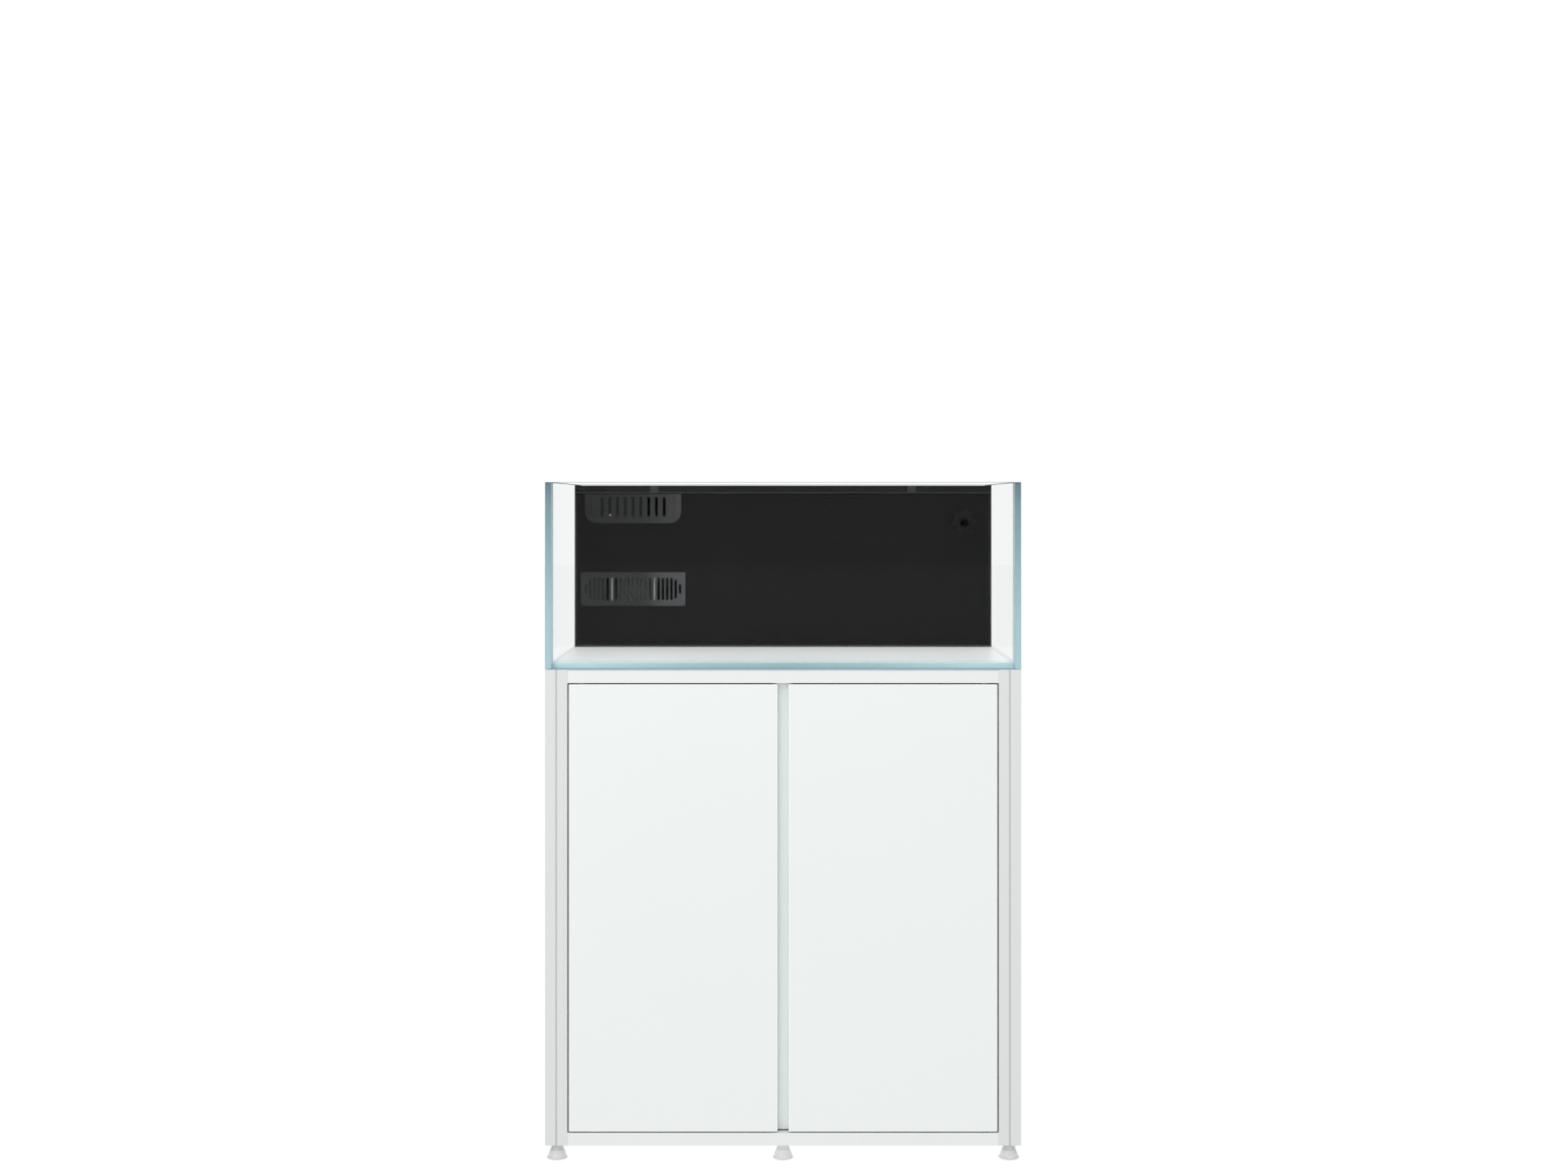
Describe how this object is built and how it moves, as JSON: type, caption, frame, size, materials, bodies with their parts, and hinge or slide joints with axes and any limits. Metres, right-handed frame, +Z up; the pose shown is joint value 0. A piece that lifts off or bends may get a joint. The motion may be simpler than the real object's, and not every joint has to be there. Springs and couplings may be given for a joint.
{
  "type": "aquarium on stand",
  "caption": "Rimless glass aquarium with a black rear filter chamber, resting on a white framed cabinet stand with two handleless doors and bell-shaped levelling feet.",
  "frame": {"origin": "centre of the footprint on the floor", "axes": "+Z up, the front with the doors faces -Y, +X to the right as seen from the front"},
  "size_m": [0.9, 0.6, 1.282],
  "materials": {
    "frame_coat": "satin",
    "zinc_steel": "satin",
    "dark_rubber": "matte",
    "dark_plastic": "satin",
    "board": "satin",
    "door_gloss": "gloss",
    "back_sheet": "satin",
    "nylon": "satin",
    "foot_metal": "satin",
    "foam_mat": "matte",
    "clear_glass": "polished",
    "silicone": "satin",
    "black_acrylic": "gloss",
    "black_moulding": "satin",
    "sponge": "matte",
    "hose_vinyl": "satin",
    "clamp_steel": "satin"
  },
  "bodies": {
    "stand": {"front_left_post": "frame_coat", "front_right_post": "frame_coat", "rear_left_post": "frame_coat", "rear_right_post": "frame_coat", "front_centre_post": "frame_coat", "rear_centre_post": "frame_coat", "top_front_rail": "frame_coat", "top_rear_rail": "frame_coat", "top_left_rail": "frame_coat", "top_right_rail": "frame_coat", "bottom_front_rail": "frame_coat", "bottom_rear_rail": "frame_coat", "bottom_left_rail": "frame_coat", "bottom_right_rail": "frame_coat", "foot_inserts": "dark_plastic", "corner_brackets": "frame_coat", "frame_screws": "zinc_steel", "centre_beams": "frame_coat", "deck_panel": "board", "base_panel": "board", "left_side_panel": "door_gloss", "right_side_panel": "door_gloss", "back_panel": "back_sheet", "cable_grommets": "dark_rubber", "pivot_bushes": "nylon", "magnet_catches": "dark_plastic", "levelling_mat": "foam_mat", "bottom_glass": "clear_glass", "front_glass": "clear_glass", "back_glass": "clear_glass", "left_glass": "clear_glass", "right_glass": "clear_glass", "silicone_seams": "silicone", "chamber_partition": "black_acrylic", "chamber_baffles": "black_acrylic", "chamber_film": "black_acrylic", "media_basket": "dark_plastic", "basket_guides": "nylon", "filter_sponge": "sponge", "return_bulkhead": "black_moulding", "return_locknut": "black_moulding", "return_elbow": "black_moulding", "return_hose": "hose_vinyl", "hose_clamps": "clamp_steel", "return_pump": "black_moulding"},
    "left_leaf": {"left_door": "door_gloss", "left_door_hardware": "zinc_steel"},
    "right_leaf": {"right_door": "door_gloss", "right_door_hardware": "zinc_steel"},
    "cover": {"chamber_cover": "black_acrylic"},
    "weir": {"overflow_weir": "black_moulding"},
    "grille": {"intake_grille": "black_moulding"},
    "nozzle_swivel_ring": {"nozzle_seat": "black_moulding"},
    "nozzle": {"nozzle_ball": "black_moulding"},
    "front_left_foot_body": {"front_left_foot": "foot_metal"},
    "front_centre_foot_body": {"front_centre_foot": "foot_metal"},
    "front_right_foot_body": {"front_right_foot": "foot_metal"},
    "rear_left_foot_body": {"rear_left_foot": "foot_metal"},
    "rear_centre_foot_body": {"rear_centre_foot": "foot_metal"},
    "rear_right_foot_body": {"rear_right_foot": "foot_metal"}
  },
  "joints": [
    {"name": "left_door_hinge", "type": "hinge", "parent": "stand", "child": "left_leaf", "pos_m": [-0.381, -0.292, 0.477], "axis": [0, 0, -1], "range_deg": [0, 110]},
    {"name": "right_door_hinge", "type": "hinge", "parent": "stand", "child": "right_leaf", "pos_m": [0.381, -0.292, 0.477], "axis": [0, 0, 1], "range_deg": [0, 110]},
    {"name": "cover_lift", "type": "slide", "parent": "stand", "child": "cover", "axis": [0, 0, 1], "range_m": [0, 0.15]},
    {"name": "weir_pull", "type": "slide", "parent": "stand", "child": "weir", "axis": [0, -1, 0], "range_m": [0, 0.06]},
    {"name": "grille_pull", "type": "slide", "parent": "stand", "child": "grille", "axis": [0, -1, 0], "range_m": [0, 0.06]},
    {"name": "nozzle_swivel", "type": "hinge", "parent": "stand", "child": "nozzle_swivel_ring", "pos_m": [0.38, 0.163, 1.201], "axis": [0, 1, 0], "continuous": true},
    {"name": "nozzle_tilt", "type": "hinge", "parent": "nozzle_swivel_ring", "child": "nozzle", "pos_m": [0.38, 0.163, 1.201], "axis": [1, 0, 0], "range_deg": [-20, 20]},
    {"name": "front_left_foot_turn", "type": "hinge", "parent": "stand", "child": "front_left_foot_body", "pos_m": [-0.42875, -0.27875, 0.014], "axis": [0, 0, 1], "continuous": true},
    {"name": "front_centre_foot_turn", "type": "hinge", "parent": "stand", "child": "front_centre_foot_body", "pos_m": [0, -0.27875, 0.014], "axis": [0, 0, 1], "continuous": true},
    {"name": "front_right_foot_turn", "type": "hinge", "parent": "stand", "child": "front_right_foot_body", "pos_m": [0.42875, -0.27875, 0.014], "axis": [0, 0, 1], "continuous": true},
    {"name": "rear_left_foot_turn", "type": "hinge", "parent": "stand", "child": "rear_left_foot_body", "pos_m": [-0.42875, 0.27875, 0.014], "axis": [0, 0, 1], "continuous": true},
    {"name": "rear_centre_foot_turn", "type": "hinge", "parent": "stand", "child": "rear_centre_foot_body", "pos_m": [0, 0.27875, 0.014], "axis": [0, 0, 1], "continuous": true},
    {"name": "rear_right_foot_turn", "type": "hinge", "parent": "stand", "child": "rear_right_foot_body", "pos_m": [0.42875, 0.27875, 0.014], "axis": [0, 0, 1], "continuous": true}
  ]
}
